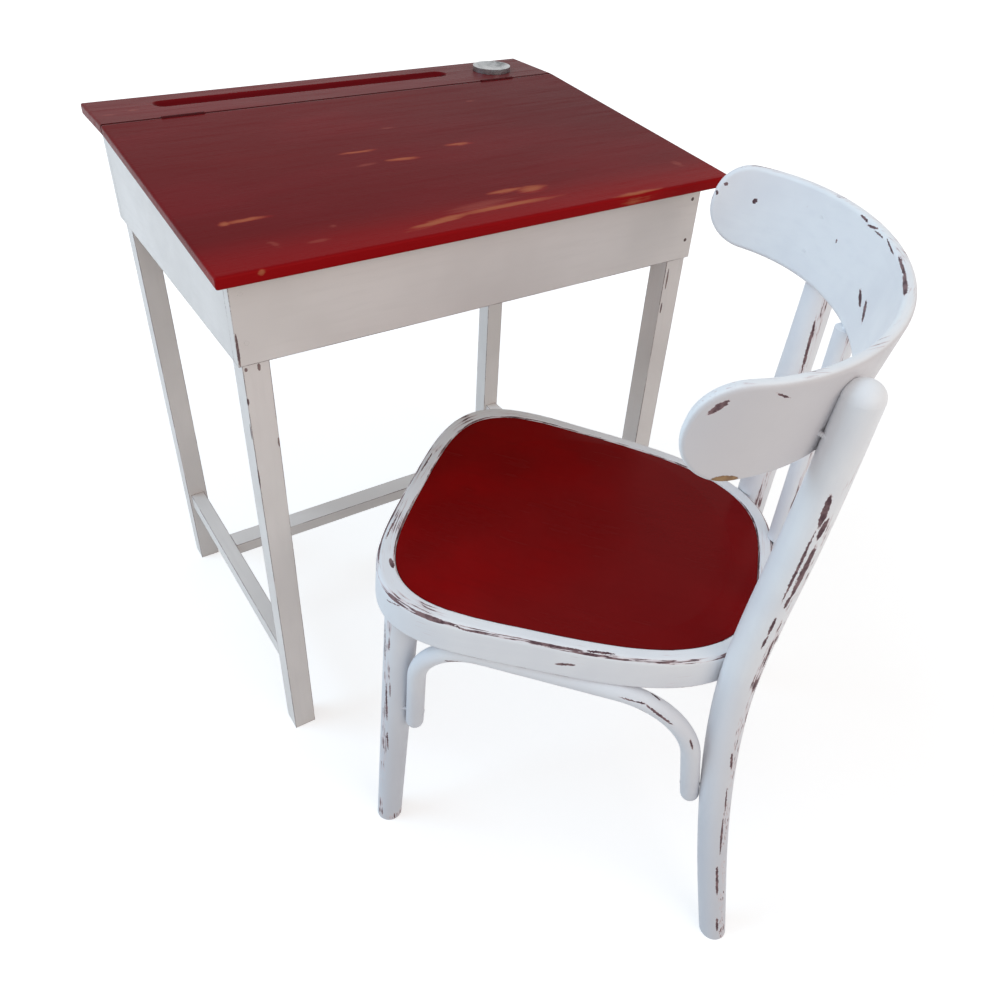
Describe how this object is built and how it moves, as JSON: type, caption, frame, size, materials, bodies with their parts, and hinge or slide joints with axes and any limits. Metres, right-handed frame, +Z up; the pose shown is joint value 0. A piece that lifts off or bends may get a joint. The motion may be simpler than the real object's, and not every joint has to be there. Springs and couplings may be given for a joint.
{
  "type": "child's desk with chair",
  "caption": "Painted wooden writing desk for a child, with a sloping lid on hinges, a pen groove and an inkwell, and a bentwood chair with a curved back board.",
  "frame": {"origin": "on the floor, in the middle of the footprint that desk and chair cover together", "axes": "+X to the right along the desk's front, +Y from the sitter towards the desk's back, +Z up"},
  "size_m": [0.6248, 0.9538, 0.726],
  "materials": {
    "desk_white": "worn white satin paint",
    "chair_white": "chipped white paint",
    "top_red": "worn dark red varnish",
    "seat_red": "dark red varnish",
    "bare_wood": "plain",
    "hinge_steel": "dull",
    "pot_metal": "dull",
    "cover_metal": "satin"
  },
  "bodies": {
    "desk": {"leg_front_left": "desk_white", "leg_front_right": "desk_white", "leg_back_left": "desk_white", "leg_back_right": "desk_white", "stretcher_left": "desk_white", "stretcher_right": "desk_white", "stretcher_cross": "desk_white", "front_panel": "desk_white", "back_panel": "desk_white", "side_panel_left": "desk_white", "side_panel_right": "desk_white", "box_floor": "bare_wood", "floor_cleat_left": "bare_wood", "floor_cleat_right": "bare_wood", "back_strip": "top_red", "hinge_leaf_strip_left": "hinge_steel", "hinge_leaf_strip_right": "hinge_steel", "hinge_pin_left": "hinge_steel", "hinge_pin_right": "hinge_steel", "strip_hinge_screws": "hinge_steel", "front_panel_nails": "hinge_steel", "back_panel_nails": "hinge_steel"},
    "lid": {"lid_board": "top_red", "lid_batten_left": "bare_wood", "lid_batten_right": "bare_wood", "batten_screws": "hinge_steel", "hinge_leaf_lid_left": "hinge_steel", "hinge_leaf_lid_right": "hinge_steel", "lid_hinge_screws": "hinge_steel"},
    "inkwell": {"inkwell_pot": "pot_metal"},
    "inkwell_cover": {"inkwell_cover": "cover_metal"},
    "chair": {"seat_ring": "chair_white", "seat_panel": "seat_red", "chair_leg_front_left": "chair_white", "chair_leg_front_right": "chair_white", "back_post_left": "chair_white", "back_post_right": "chair_white", "back_spindle_left": "chair_white", "back_spindle_right": "chair_white", "back_board": "chair_white", "side_brace_left": "chair_white", "side_brace_right": "chair_white", "post_screws": "hinge_steel", "board_screws": "hinge_steel", "brace_screws": "hinge_steel"}
  },
  "joints": [
    {"name": "lid_hinge", "type": "hinge", "parent": "desk", "child": "lid", "pos_m": [-0.0024, 0.3789, 0.7094], "axis": [-1, 0, 0], "range_deg": [0, 100]},
    {"name": "inkwell_lift", "type": "slide", "parent": "desk", "child": "inkwell", "axis": [0, 0, 1], "range_m": [0, 0.045]},
    {"name": "inkwell_cover_lift", "type": "slide", "parent": "inkwell", "child": "inkwell_cover", "axis": [0, 0, 1], "range_m": [0, 0.04]},
    {"name": "chair_slide", "type": "slide", "parent": "desk", "child": "chair", "axis": [0.6743, -0.7385, 0], "range_m": [-0.04, 0.4]}
  ]
}
